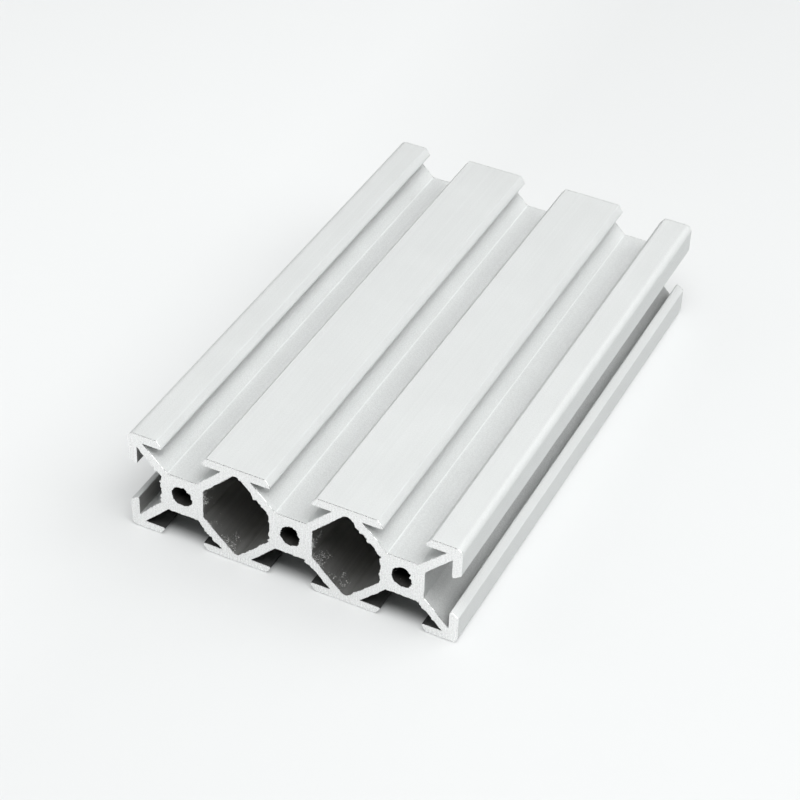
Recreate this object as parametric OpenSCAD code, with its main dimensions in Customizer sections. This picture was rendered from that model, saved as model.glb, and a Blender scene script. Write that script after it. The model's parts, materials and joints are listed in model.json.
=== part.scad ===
// Aluminium T-slot profile: a sawn length of extruded bar, a row of square modules side by side.
// Every module has a hub with a core hole. Diagonal webs tie the hubs to the outer lips, leave a
// T-slot in each outer face, and close a six-sided hollow between two neighbouring hubs.

/* [Stock] */
// Length of the sawn piece
stock_length = 100; // [20:1:500]
// Number of modules side by side across the width
module_count = 3; // [1:1:4]
// Width of one module, which is also the height of the profile
module_pitch = 20; // [18:0.5:26]

/* [T-slots] */
// Width of a slot's mouth, between the tips of its lips
mouth_w = 7.2; // [5:0.1:8.5]
// Thickness of the lips that overhang a slot
lip_t = 1.6; // [1.2:0.1:2.2]

/* [Webs and hubs] */
// Thickness of the diagonal webs
web_t = 1.5; // [1:0.1:2.2]
// Width of the square hub around each core hole
hub_w = 7.7; // [6.5:0.1:9]
// Diameter of the core hole through each hub
core_hole_d = 4.2; // [3:0.1:5]

/* [Edges] */
// Radius of the long outer corners
corner_r = 1.2; // [0.3:0.1:2]
// How far a lip's slanting edge is set back on the outer face
lip_setback = 1; // [0.3:0.1:1.5]
// Radius of a lip's edge inside the slot
lip_inner_r = 0.3; // [0.1:0.1:0.5]
// Radius at the top and the bottom of a hollow, where two webs meet
hollow_r = 1.2; // [0.4:0.1:2]

/* [Hidden] */
$fn = 64;
// How far a cut runs past the face that it opens
overcut = 1;
// Height of an outer face above a hub's centre
face_h = module_pitch / 2;
// Height of a slot's floor above a hub's centre
floor_h = hub_w / 2;
// Height of a lip's underside above a hub's centre
lip_h = face_h - lip_t;
// Depth of a lip's slanting edge, down to where its inner rounding begins
lip_slant_h = lip_t - lip_inner_r;
// Width that a lip's slanting edge gives way for each unit of height
lip_slant = lip_setback / lip_slant_h;
// Clear distance between two parallel webs of a hollow
web_gap = module_pitch / sqrt(2) - web_t;

// Centre of a module along the width
function module_x(i) = (i - (module_count - 1) / 2) * module_pitch;

// A rectangle centred on the origin, with its four corners rounded
module rounded_rectangle(size, r) {
    square([size.x - 2 * r, size.y], center = true);
    square([size.x, size.y - 2 * r], center = true);
    for (x_side = [-1, 1], y_side = [-1, 1])
        translate([x_side * (size.x / 2 - r), y_side * (size.y / 2 - r)])
            circle(r = r);
}

// The mouth between two lips whose undersides are at height 0: its inner edges are rounded, and
// from there its sides slant apart to the outer face
module slot_mouth() {
    narrow = mouth_w / 2;
    wide = narrow + lip_setback + lip_slant * overcut;
    polygon([
        [-narrow, lip_inner_r],
        [-wide, lip_t + overcut],
        [wide, lip_t + overcut],
        [narrow, lip_inner_r]
    ]);
    difference() {
        translate([-narrow - lip_inner_r, -overcut])
            square([mouth_w + 2 * lip_inner_r, overcut + lip_inner_r]);
        for (side = [-1, 1])
            translate([side * (narrow + lip_inner_r), lip_inner_r])
                circle(r = lip_inner_r);
    }
}

// The space of a T-slot that opens upwards, above a hub centred on the origin
module t_slot() {
    // The chamber between the floor, the two webs and the undersides of the lips
    intersection() {
        translate([-face_h, floor_h])
            square([module_pitch, lip_h - floor_h]);
        rotate(45)
            translate([web_t / 2, web_t / 2])
                square(module_pitch);
    }
    translate([0, lip_h])
        slot_mouth();
}

// The closed space between two hubs, centred on the origin: upright sides along the hubs, and
// slanting sides along the webs
module hollow() {
    intersection() {
        square([module_pitch - hub_w, module_pitch], center = true);
        rotate(45)
            rounded_rectangle([web_gap, web_gap], hollow_r);
    }
}

// The cross-section, centred on the origin
module section() {
    difference() {
        rounded_rectangle([module_count * module_pitch, module_pitch], corner_r);
        for (i = [0 : module_count - 1])
            translate([module_x(i), 0]) {
                t_slot();
                mirror([0, 1]) t_slot();
                circle(d = core_hole_d);
            }
        translate([module_x(0), 0])
            rotate(90) t_slot();
        translate([module_x(module_count - 1), 0])
            rotate(-90) t_slot();
        for (i = [1 : 1 : module_count - 1])
            translate([module_x(i) - face_h, 0])
                hollow();
    }
}

// The sawn length of profile, lying on one of its wide sides
module profile() {
    color([0.85, 0.86, 0.86])
        translate([0, 0, face_h])
            rotate([90, 0, 0])
                linear_extrude(height = stock_length, center = true)
                    section();
}

profile();
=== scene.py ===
import json
import math
import random

import bmesh
import bpy
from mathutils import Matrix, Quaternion, Vector, noise

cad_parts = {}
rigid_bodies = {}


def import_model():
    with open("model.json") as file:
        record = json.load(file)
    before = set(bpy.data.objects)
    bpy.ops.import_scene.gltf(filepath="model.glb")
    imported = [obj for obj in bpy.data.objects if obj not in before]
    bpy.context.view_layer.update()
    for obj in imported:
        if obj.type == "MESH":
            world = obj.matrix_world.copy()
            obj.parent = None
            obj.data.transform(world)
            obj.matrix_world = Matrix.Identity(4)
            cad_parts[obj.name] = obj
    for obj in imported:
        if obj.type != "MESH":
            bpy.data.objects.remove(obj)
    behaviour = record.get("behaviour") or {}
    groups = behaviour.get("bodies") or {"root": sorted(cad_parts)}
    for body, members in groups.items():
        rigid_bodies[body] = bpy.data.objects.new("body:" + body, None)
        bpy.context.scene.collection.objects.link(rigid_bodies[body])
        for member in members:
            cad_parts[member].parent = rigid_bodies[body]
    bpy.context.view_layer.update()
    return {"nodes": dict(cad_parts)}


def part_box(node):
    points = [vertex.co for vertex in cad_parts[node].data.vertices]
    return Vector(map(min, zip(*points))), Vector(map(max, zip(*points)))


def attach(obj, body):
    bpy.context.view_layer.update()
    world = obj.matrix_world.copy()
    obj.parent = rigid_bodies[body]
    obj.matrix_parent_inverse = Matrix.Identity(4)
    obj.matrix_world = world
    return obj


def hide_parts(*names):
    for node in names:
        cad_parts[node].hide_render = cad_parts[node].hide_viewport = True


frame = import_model()

# The bar: one length of aluminium pressed hot through a die, so its section of hubs, webs, lips and
# hollows runs unchanged from end to end. The outline of the CAD bar's near end gets the die's small
# fillets and rounder lips, is filled, and is drawn out along the length.
MM = 0.001
bar_low, bar_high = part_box("profile")
bar_length = bar_high.y - bar_low.y
middle = (bar_low + bar_high) / 2
slot_spacing = bar_high.z - bar_low.z
weld_distance = 0.001 * MM
end_facing = 0.9
corner_turn = math.radians(25)
fillet_reach = 0.1 * MM
fillet_steps = 4
outline_step = 0.12 * MM
lip_depth = 1.7 * MM
# The lips' inner edges: how near to the middle of a slot and how deep under the face they lie, and
# how far and how many times their points are drawn together
nose_reach = 5.0 * MM
nose_depth = 0.5 * MM
nose_easing = 0.5
nose_rounds = 36
# How far behind each sawn face the rings of points lie that shape its torn edges
ring_depths = [0.0, 0.08 * MM, 0.22 * MM, 0.5 * MM]


def select_parts(mesh_object, kind, wanted):
    """In edit mode, selects just those vertices, edges or faces for which wanted() is true."""
    bpy.ops.mesh.select_all(action="DESELECT")
    bpy.context.tool_settings.mesh_select_mode = (kind == "verts", kind == "edges", kind == "faces")
    edit = bmesh.from_edit_mesh(mesh_object.data)
    for part in getattr(edit, kind):
        part.select_set(wanted(part))
    edit.select_flush_mode()
    bmesh.update_edit_mesh(mesh_object.data)


bar = bpy.data.objects.new("sawn_profile", frame["nodes"]["profile"].data.copy())
bpy.context.collection.objects.link(bar)
bpy.ops.object.select_all(action="DESELECT")
bar.select_set(True)
bpy.context.view_layer.objects.active = bar
bar.data.materials.clear()
bpy.ops.mesh.customdata_custom_splitnormals_clear()
bpy.ops.object.mode_set(mode="EDIT")
bpy.ops.mesh.select_all(action="SELECT")
bpy.ops.mesh.remove_doubles(threshold=weld_distance)

# Of the CAD bar, only the bare outline of the near end is kept
select_parts(bar, "faces", lambda face: face.normal.y > -end_facing)
bpy.ops.mesh.delete(type="FACE")
select_parts(bar, "edges", lambda edge: not edge.is_boundary)
bpy.ops.mesh.delete(type="EDGE_FACE")
select_parts(bar, "faces", lambda face: True)
bpy.ops.mesh.delete(type="ONLY_FACE")


def is_corner(point):
    """Whether the outline turns sharply at a point, between sides that are longer than a fillet."""
    ahead, behind = [edge.other_vert(point).co - point.co for edge in point.link_edges]
    turn = math.pi - ahead.angle(behind)
    return turn > corner_turn and min(ahead.length, behind.length) > fillet_reach


select_parts(bar, "verts", is_corner)
bpy.ops.mesh.bevel(offset=fillet_reach, segments=fillet_steps, affect="VERTICES")

# The outline is cut into short steps, so that it can be torn and rounded
longest = max(edge.calc_length() for edge in bmesh.from_edit_mesh(bar.data).edges)
for pieces in range(2, math.ceil(longest / outline_step) + 1):
    select_parts(bar, "edges", lambda edge: round(edge.calc_length() / outline_step) == pieces)
    if bar.data.total_edge_sel:
        bpy.ops.mesh.subdivide(number_cuts=pieces - 1)


def under_faces(place):
    """How deep a point lies in from the nearer long side, and from the nearer wide face."""
    from_side = min(place.x - bar_low.x, bar_high.x - place.x)
    from_face = min(place.z - bar_low.z, bar_high.z - place.z)
    return from_side, from_face


def from_module(place):
    """How far a point lies sideways from the middle of its square module."""
    return abs((place.x + slot_spacing / 2) % slot_spacing - slot_spacing / 2)


def in_nose(point):
    """Whether a point of the outline lies on the inner edge of a lip."""
    from_side, from_face = under_faces(point.co)
    from_slot = from_module(point.co) if from_face < from_side else abs(point.co.z - middle.z)
    return from_slot < nose_reach and nose_depth < min(from_side, from_face) < lip_depth


select_parts(bar, "verts", in_nose)
bpy.ops.mesh.vertices_smooth(factor=nose_easing, repeat=nose_rounds)

# The walls of the hollows and core holes are marked before the section is drawn out, so that every
# ring has the mark
inner_walls = bar.vertex_groups.new(name="inner_walls")
select_parts(bar, "verts", lambda point: point.co.x < bar_low.x + outline_step)
bpy.ops.mesh.select_linked()
bpy.ops.mesh.select_all(action="INVERT")
bpy.ops.object.vertex_group_assign()

bpy.ops.mesh.select_all(action="SELECT")
bpy.ops.mesh.fill(use_beauty=True)
ring_places = ring_depths + [bar_length - depth for depth in reversed(ring_depths)]
for place, next_place in zip(ring_places, ring_places[1:]):
    bpy.ops.mesh.extrude_region_move(TRANSFORM_OT_translate={"value": (0, next_place - place, 0)})
bpy.ops.mesh.select_all(action="SELECT")
bpy.ops.mesh.normals_make_consistent(inside=False)
bpy.ops.object.mode_set(mode="OBJECT")

# The sawn ends: a cold saw crossed the bar towards -X and a little down, so the walls that its teeth
# left last carry a torn burr that leans into the hollows, core holes and slots. The lips carry none:
# their edges, and the foot that the bar stands on, are only broken a little.
saw_travel = Vector((-0.95, 0, -0.3)).normalized()
burr_height = 0.75 * MM
# The least share of its height that a burr has, anywhere and in the core holes
burr_everywhere = 0.2
hole_burr = 0.4
# Each burr is a sum of tears of these lengths, with their shares of its height, over a steady rise
tears = {1.25 * MM: 0.8, 0.4 * MM: 0.5}
tear_seed = 18.44 * MM
tear_rise = 0.15
hole_rise = 0.6
# How far in from the lips a burr on the outside grows to its full height
burr_growth = 1.8 * MM
# The share of the burr that each ring of points carries
ring_shares = [1.0, 0.75, 0.3, 0.0]
ring_margin = 0.01 * MM
# How far the edges are broken, and how near to the end or to the floor a point has to lie for that
edge_break = 0.02 * MM
foot_break = 0.15 * MM
edge_margin = 0.05 * MM
hole_reach = 2.5 * MM
# A face whose normal goes less than this along the bar is a wall, not an end
wall_facing = 0.5


def behind_end(place):
    """How far a point lies behind the nearer sawn end."""
    return min(place.y - bar_low.y, bar_high.y - place.y)


def in_core_hole(place):
    """Whether a point lies on the wall of one of the round holes in the middle of the modules."""
    return math.hypot(from_module(place), place.z - middle.z) < hole_reach


def clamped(value, low, high):
    """The value, or the nearer limit where it lies outside them."""
    return min(max(value, low), high)


metal = bmesh.new()
metal.from_mesh(bar.data)
metal.normal_update()
marks = metal.verts.layers.deform.verify()
pushes = []
for point in metal.verts:
    depth = behind_end(point.co)
    rings = zip(ring_depths, ring_shares)
    share = next((part for ring, part in rings if abs(depth - ring) < ring_margin), 0.0)
    if not share:
        continue
    wall_normals = [face.normal for face in point.link_faces if abs(face.normal.y) < wall_facing]
    open_side = sum(wall_normals, Vector()).normalized()
    lean, rise = max(burr_everywhere, open_side.dot(saw_travel)), tear_rise
    if in_core_hole(point.co):
        lean, rise = max(hole_burr, lean), hole_rise
    elif inner_walls.index not in point[marks]:
        lean *= clamped((min(under_faces(point.co)) - lip_depth) / burr_growth, 0.0, 1.0)
    torn_at = Vector((point.co.x, math.copysign(tear_seed, point.co.y), point.co.z))
    tear = rise + sum(part * noise.noise(torn_at / size) for size, part in tears.items())
    break_back = edge_break if depth < edge_margin else 0.0
    if point.co.z - bar_low.z < edge_margin:
        break_back = foot_break * share
    pushes.append((point, open_side * (share * burr_height * lean * max(0.0, tear) - break_back)))
for point, push in pushes:
    point.co += push
    point.co.x = clamped(point.co.x, bar_low.x, bar_high.x)
    point.co.z = clamped(point.co.z, bar_low.z, bar_high.z)
metal.to_mesh(bar.data)
metal.free()
bpy.ops.object.shade_smooth_by_angle(angle=corner_turn)

# Grain of metal: fine flecks, faint lines drawn out along the way that the die or the saw went, and
# broad clouds. Its coordinates are millimetres along the bar's own axes.
grain = bpy.data.node_groups.new("metal_grain", "ShaderNodeTree")


def shader_node(tree, kind, inputs=None, **settings):
    """Adds a shader node, sets its properties, and sets or links its inputs, by name or by number."""
    made = tree.nodes.new("ShaderNode" + kind)
    for name, value in settings.items():
        setattr(made, name, value)
    for name, value in (inputs or {}).items():
        if isinstance(value, bpy.types.NodeSocket):
            tree.links.new(value, made.inputs[name])
        else:
            made.inputs[name].default_value = value
    return made


grain.interface.new_socket("Flecks per mm", in_out="INPUT", socket_type="NodeSocketFloat")
grain.interface.new_socket("Lines per mm", in_out="INPUT", socket_type="NodeSocketVector")
for name in ("Fleck", "Line", "Cloud"):
    grain.interface.new_socket(name, in_out="OUTPUT", socket_type="NodeSocketFloat")
grain_in = grain.nodes.new("NodeGroupInput").outputs
grain_out = grain.nodes.new("NodeGroupOutput").inputs
grain_place = shader_node(grain, "TexCoord").outputs["Object"]
scaled = shader_node(grain, "VectorMath", {0: grain_place, "Scale": 1 / MM}, operation="SCALE")
grain_mm = scaled.outputs["Vector"]
drawn_out = shader_node(grain, "VectorMath", {0: grain_mm, 1: grain_in["Lines per mm"]},
                        operation="MULTIPLY")
noises = {"Fleck": {"Vector": grain_mm, "Scale": grain_in["Flecks per mm"], "Detail": 2.0,
                    "Roughness": 0.6},
          "Line": {"Vector": drawn_out.outputs["Vector"], "Scale": 1.0, "Detail": 3.0},
          "Cloud": {"Vector": grain_mm, "Scale": 0.09, "Detail": 2.0}}
for name, inputs in noises.items():
    grain.links.new(shader_node(grain, "TexNoise", inputs).outputs["Fac"], grain_out[name])


def placed_grain(tree, flecks_per_mm, lines_per_mm):
    """The outputs of the grain of metal, placed in a material with its own fineness."""
    made = tree.nodes.new("ShaderNodeGroup")
    made.node_tree = grain
    made.inputs["Flecks per mm"].default_value = flecks_per_mm
    made.inputs["Lines per mm"].default_value = lines_per_mm
    return made.outputs


# The skin: fine blasted and clear anodised to a pale satin grey, with a trace of lines from the die.
# In the slots, where the blasting strikes at a slant, the grain is coarser, and the skin is painted a
# little paler, a painted light; the foot of each web is painted to a paler line, a painted highlight.
# The slots at the sides are painted darker, a painted shade that is deepest at the ends.
skin_colour = (0.695, 0.711, 0.707)
skin_roughness = (0.74, 0.88)
skin_lines = (0.985, 1.015)
skin_clouds = (0.985, 1.015)
# The flecks of each skin: the paler ones in the slots and at the web feet are painted light and a
# painted highlight, the darker ones in the side slots painted shade
skin_flecks = {"anodised_skin": (0.95, 1.04), "slot_skin": (0.94, 1.10), "web_foot_painted_highlight": (1.07, 1.19),
               "side_slot_painted_shade": (0.86, 1.10)}
# Painted shade in the slots at the sides: its factor inside and at the ends, and how far in from each
# end the painted shade of the side slots and hollow mouths deepens
side_slot_shade_factors = (0.94, 0.75)
end_shade_depth = 20.0 * MM
# The values between which most of a noise lies
noise_range = (0.3, 0.7)


def finish_on_bar(name):
    """A new material in the bar's next material slot: its node tree and its shader."""
    material = bpy.data.materials.new(name)
    material.use_nodes = True
    bar.data.materials.append(material)
    return material.node_tree, material.node_tree.nodes["Principled BSDF"]


def worked_out(tree, operation, *values):
    """What a Math node makes of the values."""
    return shader_node(tree, "Math", dict(enumerate(values)), operation=operation).outputs[0]


def ramp(tree, value, start, end, low, high, **settings):
    """A value that goes from low to high while another one goes from start to end."""
    ends = {"From Min": start, "From Max": end, "To Min": low, "To Max": high}
    return shader_node(tree, "MapRange", {"Value": value, **ends}, **settings).outputs["Result"]


def spread(tree, value, low, high):
    """A noise, spread from low to high."""
    return ramp(tree, value, *noise_range, low, high)


def towards_ends(tree, inside, at_end):
    """A value that goes from inside to at_end at either sawn end, to grade the painted shade near the
    ends.
    """
    along = shader_node(tree, "SeparateXYZ", {0: shader_node(tree, "TexCoord").outputs["Object"]})
    from_middle = worked_out(tree, "ABSOLUTE", along.outputs["Y"])
    return ramp(tree, from_middle, bar_high.y - end_shade_depth, bar_high.y, inside, at_end)


def shaded(tree, colour, *shades):
    """A colour made darker or paler by each of the shades."""
    for shade in shades:
        made = shader_node(tree, "VectorMath", {0: colour, "Scale": shade}, operation="SCALE")
        colour = made.outputs["Vector"]
    return colour


def raised(tree, height, strength, distance):
    """The normal of a surface that a noise raises a little."""
    inputs = {"Height": height, "Strength": strength, "Distance": distance}
    return shader_node(tree, "Bump", inputs).outputs["Normal"]


for name, flecks in skin_flecks.items():
    tree, shader = finish_on_bar(name)
    skin_grain = placed_grain(tree, flecks_per_mm=4.5, lines_per_mm=(2.2, 0.006, 2.2))
    shades = [spread(tree, skin_grain["Fleck"], *flecks), spread(tree, skin_grain["Line"], *skin_lines),
              spread(tree, skin_grain["Cloud"], *skin_clouds)]
    # The slots at the sides get painted shade that deepens towards the ends
    if name == "side_slot_painted_shade":
        shades.append(towards_ends(tree, *side_slot_shade_factors))
    tree.links.new(shaded(tree, skin_colour, *shades), shader.inputs["Base Color"])
    tree.links.new(spread(tree, skin_grain["Fleck"], *skin_roughness), shader.inputs["Roughness"])
    relief = raised(tree, skin_grain["Fleck"], strength=1.0, distance=0.06 * MM)
    tree.links.new(relief, shader.inputs["Normal"])
    shader.inputs["Metallic"].default_value = 0.5

# The sawn metal: bare, almost white, flecked and with the fine scratches of the saw's teeth across it.
# It covers both end faces and the first trace of the walls behind them.
sawn_colour = (0.99, 0.993, 0.988)
sawn_flecks = (0.84, 1.05)
sawn_scratches = (0.96, 1.02)
sawn_roughness = (0.2, 0.34)
tree, shader = finish_on_bar("sawn_metal")
sawn_grain = placed_grain(tree, flecks_per_mm=3.5, lines_per_mm=(3.5, 1.0, 0.15))
shades = [spread(tree, sawn_grain["Fleck"], *sawn_flecks),
          spread(tree, sawn_grain["Line"], *sawn_scratches)]
tree.links.new(shaded(tree, sawn_colour, *shades), shader.inputs["Base Color"])
tree.links.new(spread(tree, sawn_grain["Line"], *sawn_roughness), shader.inputs["Roughness"])
relief = raised(tree, sawn_grain["Line"], strength=0.2, distance=0.03 * MM)
tree.links.new(relief, shader.inputs["Normal"])
shader.inputs["Metallic"].default_value = 1.0

# The inner walls get darker greys that are painted shade: the core holes and the backs of the lips
# under the bar darkest, the backs of the lips at the sides less so. The hollows' walls are painted
# darker towards their mouths, a painted shade there too.
wall_colours = {"hollow_wall": (0.74, 0.74, 0.72), "core_hole_wall": (0.22, 0.215, 0.205),
                "side_lip_back": (0.46, 0.46, 0.453), "lip_back": (0.13, 0.13, 0.128)}
# The darker grey painted at the hollows' mouths, a painted shade
hollow_mouth_colour = (0.40, 0.40, 0.39)
wall_lines = (0.93, 1.07)
wall_roughness = (0.4, 0.6)
for name, colour in wall_colours.items():
    tree, shader = finish_on_bar(name)
    wall_grain = placed_grain(tree, flecks_per_mm=5.0, lines_per_mm=(2.0, 0.02, 2.0))
    # Painted shade at the mouths of the hollows
    if name == "hollow_wall":
        near_mouth = {"Factor": towards_ends(tree, 0.0, 1.0), "A": (*colour, 1),
                      "B": (*hollow_mouth_colour, 1)}
        colour = shader_node(tree, "Mix", near_mouth, data_type="RGBA").outputs["Result"]
    lines = spread(tree, wall_grain["Line"], *wall_lines)
    tree.links.new(shaded(tree, colour, lines), shader.inputs["Base Color"])
    tree.links.new(spread(tree, wall_grain["Fleck"], *wall_roughness), shader.inputs["Roughness"])
    shader.inputs["Metallic"].default_value = 0.9

# Each face of the bar gets the finish of its place, or the painted shade or highlight of its place
sawn_depth = 0.1 * MM
# A face of a lip that is turned into the slot by more than this is its back, which gets painted shade
turned_in = -0.5
# Under the bar, a lip's inner edge counts as its back too and gets its painted shade, a dark line,
# unless it is turned down by more than this
nose_turned_down = -0.45
# The foot of a web is the rounding between the web's slope and the floor of the slot; it is painted
# paler, a painted highlight
web_foot_slopes = (0.74, 0.998)


def finish_of(face):
    """The name of the material that a face of the bar gets, by where it lies and which way it faces: a
    finish, or a painted shade or highlight.
    """
    place, normal = face.center, face.normal
    depth = behind_end(place)
    if depth < sawn_depth:
        return "sawn_metal"
    # Hollows and core holes get painted shade
    if inner_points.issuperset(face.vertices):
        return "core_hole_wall" if in_core_hole(place) else "hollow_wall"
    from_side, from_face = under_faces(place)
    # The backs of the lips get painted shade
    if from_side < lip_depth and normal.x * math.copysign(1, place.x - middle.x) < turned_in:
        return "side_lip_back"
    if from_face < lip_depth and normal.z * math.copysign(1, place.z - middle.z) < turned_in:
        return "lip_back"
    if min(from_side, from_face) < lip_depth:
        under_bar = place.z < middle.z and from_face > nose_depth and from_module(place) < nose_reach
        return "lip_back" if under_bar and normal.z > nose_turned_down else "anodised_skin"
    # The web feet get a painted highlight
    if depth > ring_depths[-1] and web_foot_slopes[0] < abs(normal.z) < web_foot_slopes[1]:
        return "web_foot_painted_highlight"
    # The slots at the sides get painted shade
    if from_side < slot_spacing / 2 and abs(place.z - middle.z) < from_module(place):
        return "side_slot_painted_shade"
    # The rest of the slots get the slot skin, painted a little paler, a painted light
    return "slot_skin"


inner_points = {point.index for point in bar.data.vertices
                if inner_walls.index in [mark.group for mark in point.groups]}
for face in bar.data.polygons:
    face.material_index = bar.data.materials.find(finish_of(face))

# The crumbs: chips of metal that the saw's teeth threw back. They cling in patches to the walls where
# the teeth came into the hollows and core holes, most of them close to the mouths.
crumb_reach = 3.5 * MM
crumb_sizes = (0.06 * MM, 0.15 * MM)
crumb_height = 1.2
crumb_flatness = 0.35
crumb_patch = 1.8 * MM
# A noise has to be above a value drawn between these for a crumb to stay
crumb_chance = (-0.1, 0.5)
# The crumbs that are tried in the hollows and, where it says True, in the core holes
crumb_tries = {False: 9000, True: 240}
# The walls where the teeth came in are turned to +X by more than this. Each is known by the one of its
# faces that spans the middle of the bar, and they are told apart to a micrometre.
facing_saw = 0.3
middle_part = bar_length / 10
place_digits = 6
crumb_colour = (0.93, 0.93, 0.92)
crumb_flecks = (0.85, 1.05)
tree, shader = finish_on_bar("saw_crumbs")
crumb_grain = placed_grain(tree, flecks_per_mm=5.0, lines_per_mm=(3.0, 3.0, 3.0))
flecks = spread(tree, crumb_grain["Fleck"], *crumb_flecks)
tree.links.new(shaded(tree, crumb_colour, flecks), shader.inputs["Base Color"])
shader.inputs["Roughness"].default_value = 0.6
shader.inputs["Metallic"].default_value = 0.3
crumb_finish = bar.data.materials.find("saw_crumbs")


def is_struck(face):
    """Whether a face of the bar is a wall where the teeth came in."""
    if face.normal.x <= facing_saw or abs(face.calc_center_median().y) >= middle_part:
        return False
    return all(inner_walls.index in point[marks] for point in face.verts)


dice = random.Random(4)
metal = bmesh.new()
metal.from_mesh(bar.data)
marks = metal.verts.layers.deform.verify()
struck = [face for face in metal.faces if is_struck(face)]
# In order of their places, so that every run draws the same crumbs
struck.sort(key=lambda face: [round(value, place_digits) for value in face.calc_center_median().xz])
for core_hole, tries in crumb_tries.items():
    walls = [face for face in struck if in_core_hole(face.calc_center_median()) == core_hole]
    for face in [dice.choice(walls) for crumb in range(tries)]:
        into_bar = crumb_reach * dice.random() ** 2
        seat = face.calc_center_median()
        seat.y = dice.choice((bar_low.y + into_bar, bar_high.y - into_bar))
        if noise.noise(seat / crumb_patch) < dice.uniform(*crumb_chance):
            continue
        size = dice.uniform(*crumb_sizes)
        corners = [seat + face.normal * size * crumb_height]
        for corner in range(3):
            spin = Vector([dice.uniform(-limit, limit) for limit in (1, crumb_flatness, 1)])
            corners.append(seat + spin * size)
            corners[-1].y = clamped(corners[-1].y, bar_low.y, bar_high.y)
        heart = sum(corners, Vector()) / len(corners)
        points = [metal.verts.new(corner) for corner in corners]
        for a, b, c in ((0, 1, 2), (0, 2, 3), (0, 3, 1), (1, 3, 2)):
            side = metal.faces.new((points[a], points[b], points[c]))
            side.material_index = crumb_finish
            side.normal_update()
            if side.normal.dot(side.calc_center_median() - heart) < 0:
                side.normal_flip()
metal.to_mesh(bar.data)
metal.free()

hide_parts("profile")
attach(bar, "root")

# The floor: a wide sheet of white paper that the bar lies on. The lamps light it to a grey, and a glow
# that only the eye and the shine of the metal see makes it white, with more of it on the left and far
# off. The glow fades out under the bar, so the shade there stays.
floor_width = 6.0
floor_gap = 0.02 * MM
paper_colour = (0.465, 0.473, 0.473)
paper_glow = 0.29
glow_colour = (0.985, 1.0, 1.0)
shade_edge = 3.6 * MM
left_rise = 1.22
left_from, left_to = -20 * MM, -60 * MM
far_glow = 0.62
far_from, far_to = 250 * MM, 1200 * MM
bpy.ops.mesh.primitive_plane_add(size=floor_width, location=(0, 0, bar_low.z - floor_gap))
floor = bpy.context.object
floor.name = "floor"
paper = bpy.data.materials.new("white_paper")
paper.use_nodes = True
tree = paper.node_tree
shader = tree.nodes["Principled BSDF"]
shader.inputs["Base Color"].default_value = (*paper_colour, 1)
shader.inputs["Roughness"].default_value = 0.9
shader.inputs["Specular IOR Level"].default_value = 0.0
shader.inputs["Emission Color"].default_value = (*glow_colour, 1)
ray = shader_node(tree, "LightPath").outputs
seen = worked_out(tree, "MAXIMUM", ray["Is Camera Ray"], ray["Is Glossy Ray"])
seen = worked_out(tree, "MAXIMUM", seen, ray["Is Transmission Ray"])
paper_place = shader_node(tree, "TexCoord").outputs["Object"]
from_middle = shader_node(tree, "VectorMath", {0: paper_place}, operation="ABSOLUTE").outputs["Vector"]
past_bar = shader_node(tree, "VectorMath", {0: from_middle, 1: bar_high}, operation="SUBTRACT")
past_sides = shader_node(tree, "SeparateXYZ", {0: past_bar.outputs["Vector"]}).outputs
past_edge = worked_out(tree, "MAXIMUM", past_sides["X"], past_sides["Y"])
unshaded = ramp(tree, past_edge, -shade_edge, 0.0, 0.0, paper_glow, interpolation_type="SMOOTHSTEP")
sideways = shader_node(tree, "SeparateXYZ", {0: paper_place}).outputs["X"]
on_left = ramp(tree, sideways, left_from, left_to, 1.0, left_rise)
from_bar = shader_node(tree, "VectorMath", {0: paper_place}, operation="LENGTH").outputs["Value"]
far_off = ramp(tree, from_bar, far_from, far_to, 0.0, far_glow)
glow = worked_out(tree, "MULTIPLY_ADD", unshaded, on_left, far_off)
tree.links.new(worked_out(tree, "MULTIPLY", glow, seen), shader.inputs["Emission Strength"])
floor.data.materials.append(paper)

# The light: a soft lamp high up before the near end, and wider ones on the right, behind, on the left
# and in front on the left, in a dark room. Each lamp has its bearing from the near end and its height
# in degrees, its power in watts and its width.
world = bpy.data.worlds.new("studio")
bpy.context.scene.world = world
world.use_nodes = True
world.node_tree.nodes["Background"].inputs["Strength"].default_value = 0.0

lamp_distance = 0.8
lamps = {"key_lamp": (35, 70, 5.6, 0.45), "right_lamp": (110, 40, 4.2, 0.8),
         "back_lamp": (157, 48, 1.35, 0.8), "left_lamp": (270, 35, 1.1, 0.8),
         "front_lamp": (310, 40, 0.95, 0.8)}
for name, (bearing, height, watts, width) in lamps.items():
    turn = math.radians(bearing)
    rise = math.radians(height)
    level = Vector((math.sin(turn), -math.cos(turn), 0))
    towards = level * math.cos(rise) + Vector((0, 0, math.sin(rise)))
    lamp_data = bpy.data.lights.new(name, "AREA")
    lamp_data.size = width
    lamp_data.energy = watts
    lamp = bpy.data.objects.new(name, lamp_data)
    bpy.context.collection.objects.link(lamp)
    lamp.location = towards * lamp_distance
    lamp.rotation_euler = (-towards).to_track_quat("-Z", "Y").to_euler()

# The camera: a long lens before the near end, above and to the right of the bar, and tipped a little.
camera_place = Vector((125.8, -282.8, 252.0)) * MM
camera_aim = Vector((0.0, -10.4, 10.0)) * MM
camera_roll = math.radians(2.44)
camera_data = bpy.data.cameras.new("camera")
camera_data.sensor_width = 36
camera_data.lens = 100.46
camera_data.clip_start = 0.01
camera = bpy.data.objects.new("camera", camera_data)
bpy.context.collection.objects.link(camera)
camera.location = camera_place
level_view = (camera_aim - camera_place).to_track_quat("-Z", "Y")
camera.rotation_euler = (level_view @ Quaternion((0, 0, 1), camera_roll)).to_euler()
bpy.context.scene.camera = camera
bpy.context.scene.view_settings.view_transform = "Standard"
